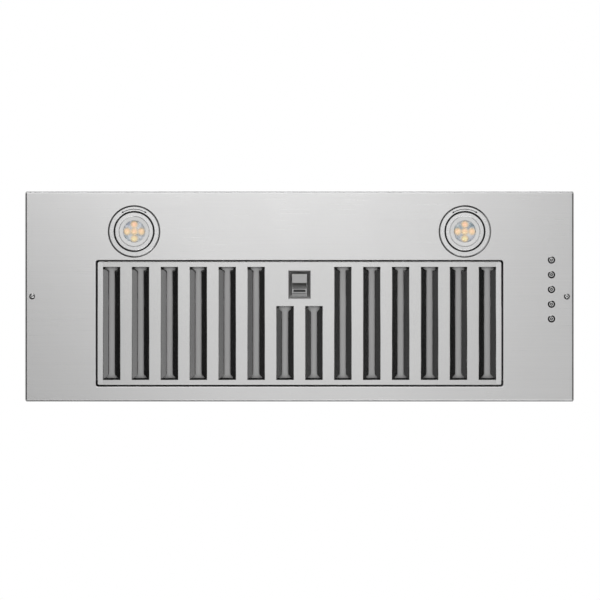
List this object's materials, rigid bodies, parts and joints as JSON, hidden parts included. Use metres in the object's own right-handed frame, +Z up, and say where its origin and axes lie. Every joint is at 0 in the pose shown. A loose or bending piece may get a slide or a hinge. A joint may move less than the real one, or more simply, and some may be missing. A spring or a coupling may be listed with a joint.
{
  "type": "range hood insert",
  "caption": "Built-in range hood insert: stainless face panel with a latched baffle filter, two lamps and push buttons under a liner box with a blower and duct collar.",
  "frame": {"origin": "middle of the mounting flanges' top faces, which bear on the cabinet's underside, and of their four screw holes", "axes": "+X to the user's right, +Y towards the wall behind, +Z up towards the duct; the face panel looks down"},
  "size_m": [0.873, 0.334, 0.3412],
  "materials": {
    "face_steel": "brushed, satin",
    "filter_steel": "satin",
    "zinc_sheet": "galvanised, dull",
    "bright_steel": "polished",
    "bezel_steel": "turned, satin",
    "lens": "clear",
    "led": "phosphor under clear resin",
    "heat_sink": "die-cast",
    "wheel_steel": "galvanised",
    "motor_paint": "semi-gloss",
    "white_plastic": "moulded",
    "black_plastic": "moulded",
    "board_green": "lacquered",
    "cable_grey": "sheathed",
    "spring_steel": "drawn wire"
  },
  "bodies": {
    "hood": {"faceplate": "face_steel", "faceplate_screws": "bright_steel", "faceplate_standoffs": "zinc_sheet", "filter_pivot_brackets": "zinc_sheet", "lamp_bezels": "bezel_steel", "lamp_cans": "zinc_sheet", "button_bezels": "bezel_steel", "button_springs": "spring_steel", "switch_bodies": "black_plastic", "switch_board": "board_green", "switch_housing": "white_plastic", "liner_front": "zinc_sheet", "liner_back": "zinc_sheet", "liner_ends": "zinc_sheet", "liner_decks": "zinc_sheet", "tower_walls": "zinc_sheet", "tower_ends": "zinc_sheet", "tower_top": "zinc_sheet", "duct_collar": "zinc_sheet", "duct_screws": "bright_steel", "flap_rod": "bright_steel", "scroll_wrap": "zinc_sheet", "scroll_sides": "zinc_sheet", "blower_hangers": "zinc_sheet", "motor_case": "motor_paint", "motor_bracket": "zinc_sheet", "capacitor": "white_plastic", "capacitor_strap": "zinc_sheet", "junction_box": "zinc_sheet", "junction_cover": "zinc_sheet", "supply_bushing": "black_plastic", "wiring": "cable_grey"},
    "filter": {"filter_face_sheet": "filter_steel", "filter_upper_sheet": "filter_steel", "filter_end_channels": "filter_steel", "filter_long_channels": "filter_steel", "filter_pivot_pins": "bright_steel", "latch_cup": "filter_steel", "latch_spring": "spring_steel"},
    "latch": {"latch_slide": "bezel_steel", "latch_tongue": "spring_steel"},
    "flap_front": {"backdraft_flap_front": "heat_sink"},
    "flap_rear": {"backdraft_flap_rear": "heat_sink"},
    "rotor": {"impeller_disc": "wheel_steel", "impeller_rings": "wheel_steel", "impeller_blades": "wheel_steel", "shaft": "bright_steel"},
    "push_button_1": {"button_1": "bezel_steel"},
    "push_button_2": {"button_2": "bezel_steel"},
    "push_button_3": {"button_3": "bezel_steel"},
    "push_button_4": {"button_4": "bezel_steel"},
    "push_button_5": {"button_5": "bezel_steel"},
    "left_lamp": {"left_lamp_ring": "bezel_steel", "left_lamp_lens": "lens", "left_lamp_leds": "led", "left_lamp_heat_sink": "heat_sink"},
    "right_lamp": {"right_lamp_ring": "bezel_steel", "right_lamp_lens": "lens", "right_lamp_leds": "led", "right_lamp_heat_sink": "heat_sink"}
  },
  "joints": [
    {"name": "baffle_filter_tilt", "type": "hinge", "parent": "hood", "child": "filter", "pos_m": [0, 0.1323, -0.0035], "axis": [1, 0, 0], "range_deg": [0, 60], "deforming": ["latch_tongue"]},
    {"name": "latch_pull", "type": "slide", "parent": "filter", "child": "latch", "axis": [0, 1, 0], "range_m": [0, 0.005], "stiffness_N_per_m": 400, "springref_m": -0.004, "deforming": ["latch_spring"]},
    {"name": "button_1_press", "type": "slide", "parent": "hood", "child": "push_button_1", "axis": [0, 0, 1], "range_m": [0, 0.002], "stiffness_N_per_m": 300, "springref_m": -0.003, "deforming": ["button_springs"]},
    {"name": "button_2_press", "type": "slide", "parent": "hood", "child": "push_button_2", "axis": [0, 0, 1], "range_m": [0, 0.002], "stiffness_N_per_m": 300, "springref_m": -0.003, "deforming": ["button_springs"]},
    {"name": "button_3_press", "type": "slide", "parent": "hood", "child": "push_button_3", "axis": [0, 0, 1], "range_m": [0, 0.002], "stiffness_N_per_m": 300, "springref_m": -0.003, "deforming": ["button_springs"]},
    {"name": "button_4_press", "type": "slide", "parent": "hood", "child": "push_button_4", "axis": [0, 0, 1], "range_m": [0, 0.002], "stiffness_N_per_m": 300, "springref_m": -0.003, "deforming": ["button_springs"]},
    {"name": "button_5_press", "type": "slide", "parent": "hood", "child": "push_button_5", "axis": [0, 0, 1], "range_m": [0, 0.002], "stiffness_N_per_m": 300, "springref_m": -0.003, "deforming": ["button_springs"]},
    {"name": "left_lamp_twist", "type": "hinge", "parent": "hood", "child": "left_lamp", "pos_m": [-0.263, -0.1034, -0.009], "axis": [0, 0, 1], "range_deg": [0, 25]},
    {"name": "right_lamp_twist", "type": "hinge", "parent": "hood", "child": "right_lamp", "pos_m": [0.263, -0.1034, -0.009], "axis": [0, 0, 1], "range_deg": [0, 25]},
    {"name": "backdraft_flap_front_swing", "type": "hinge", "parent": "hood", "child": "flap_front", "pos_m": [0, 0.014, 0.3], "axis": [-1, 0, 0], "range_deg": [0, 78]},
    {"name": "backdraft_flap_rear_swing", "type": "hinge", "parent": "hood", "child": "flap_rear", "pos_m": [0, 0.014, 0.3], "axis": [1, 0, 0], "range_deg": [0, 78]},
    {"name": "impeller_spin", "type": "hinge", "parent": "hood", "child": "rotor", "pos_m": [0, -0.054, 0.17], "axis": [1, 0, 0], "continuous": true}
  ]
}
